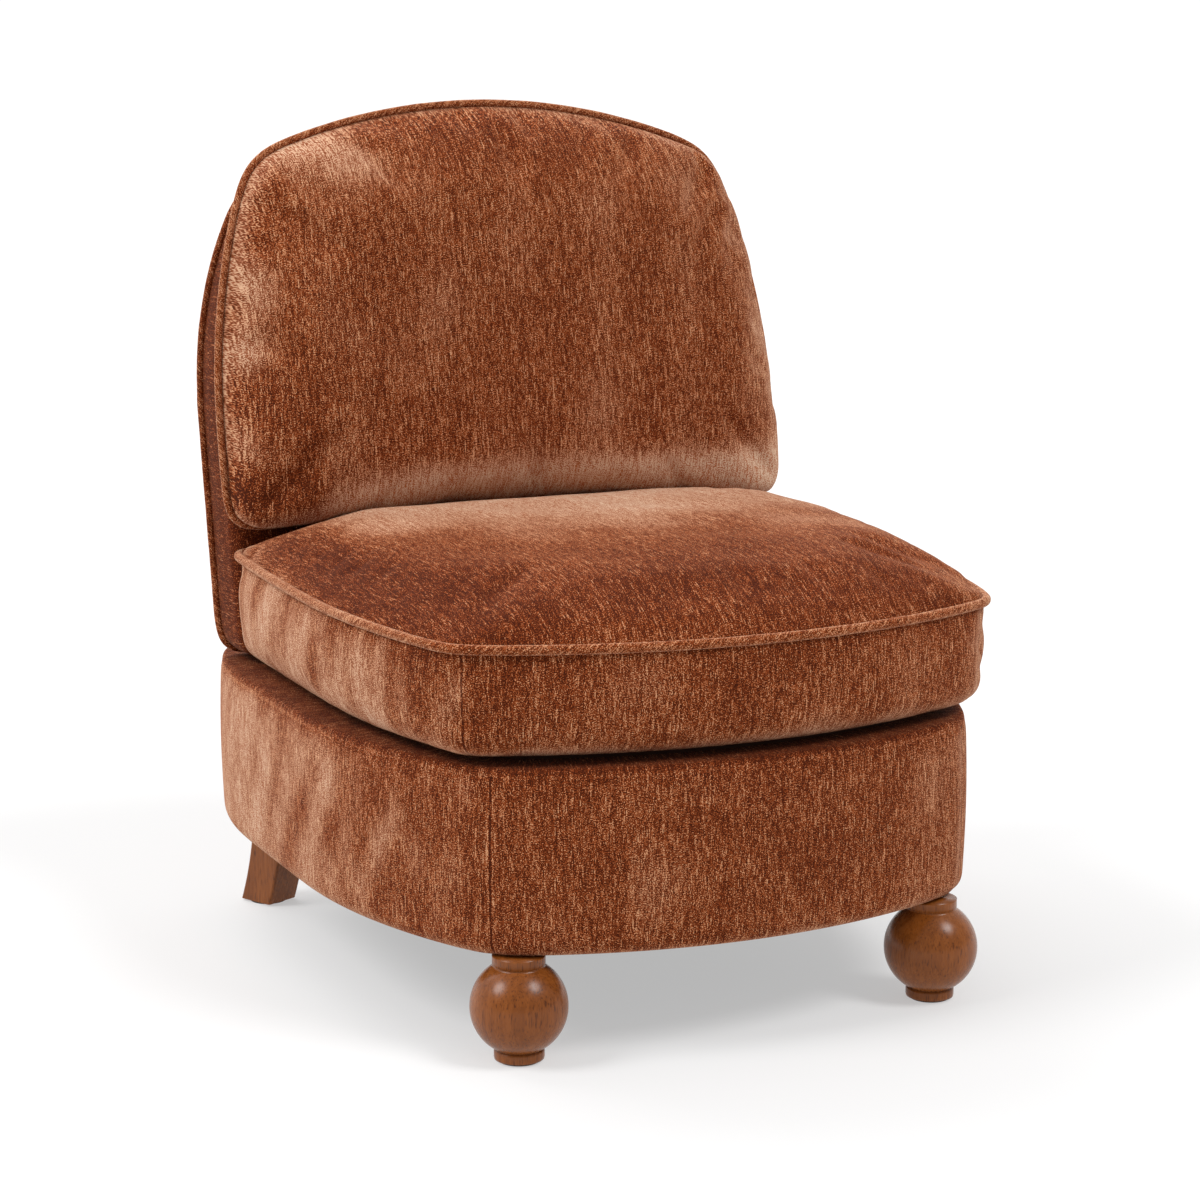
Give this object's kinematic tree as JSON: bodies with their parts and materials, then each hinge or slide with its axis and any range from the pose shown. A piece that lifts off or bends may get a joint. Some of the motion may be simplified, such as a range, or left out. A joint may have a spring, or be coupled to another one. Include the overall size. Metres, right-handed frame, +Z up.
{
  "type": "armless accent chair",
  "caption": "Armless upholstered slipper chair with a loose piped seat cushion, a loose dome back cushion on a padded back, turned ball feet in front and sabre legs behind.",
  "frame": {"origin": "on the floor under the middle of the chair's box", "axes": "+Z up, the seat's front faces -Y, +X to the right of someone looking at the front"},
  "size_m": [0.692, 0.7958, 0.8976],
  "materials": {
    "chenille": "rust chenille velvet with a vertical slub",
    "stained_wood": "walnut stain, satin lacquer",
    "frame_wood": "raw, unfinished",
    "foam": "open-cell foam and fibre",
    "webbing": "woven elastic",
    "cambric": "plain non-woven cloth",
    "steel": "zinc plated",
    "zip": "nylon coil",
    "glide": "matte nylon"
  },
  "bodies": {
    "frame": {"back_arch": "frame_wood", "back_bolt_nuts": "steel", "back_bolts": "steel", "back_border_cover": "chenille", "back_lower_rail": "frame_wood", "back_mounting_rail": "frame_wood", "back_pad": "foam", "back_post_left": "frame_wood", "back_post_right": "frame_wood", "back_webbing": "webbing", "back_welt": "chenille", "base_cover_front": "chenille", "base_cover_left": "chenille", "base_cover_rear": "chenille", "base_cover_right": "chenille", "base_padding_front": "foam", "base_padding_left": "foam", "base_padding_rear": "foam", "base_padding_right": "foam", "deck_cloth": "cambric", "deck_pad": "foam", "dust_cover": "cambric", "front_corner_block_left": "frame_wood", "front_corner_block_right": "frame_wood", "front_foot_left": "stained_wood", "front_foot_right": "stained_wood", "front_rail": "frame_wood", "glide_front_left": "glide", "glide_front_right": "glide", "glide_rear_left": "glide", "glide_rear_right": "glide", "hanger_bolts": "steel", "inside_back_cover": "chenille", "ledge_band": "chenille", "left_side_rail": "frame_wood", "outside_back_board": "frame_wood", "outside_back_cover": "chenille", "rear_corner_block_left": "frame_wood", "rear_corner_block_right": "frame_wood", "rear_leg_left": "stained_wood", "rear_leg_right": "stained_wood", "rear_rail": "frame_wood", "right_side_rail": "frame_wood", "threaded_inserts": "steel", "webbing_crosswise": "webbing", "webbing_lengthwise": "webbing"},
    "seat_cushion": {"seat_bottom_panel": "chenille", "seat_boxing_front": "chenille", "seat_boxing_left": "chenille", "seat_boxing_rear": "chenille", "seat_boxing_right": "chenille", "seat_foam": "foam", "seat_piping": "chenille", "seat_top_panel": "chenille", "seat_zip": "zip"},
    "back_cushion": {"back_cushion_filling": "foam", "back_cushion_front_panel": "chenille", "back_cushion_rear_panel": "chenille", "back_cushion_welt": "chenille"}
  },
  "joints": [
    {"name": "seat_cushion_slide", "type": "slide", "parent": "frame", "child": "seat_cushion", "axis": [0, -1, 0], "range_m": [0, 0.6]},
    {"name": "back_cushion_lift", "type": "slide", "parent": "frame", "child": "back_cushion", "axis": [0, 0.1908, 0.9816], "range_m": [0, 0.6]}
  ]
}
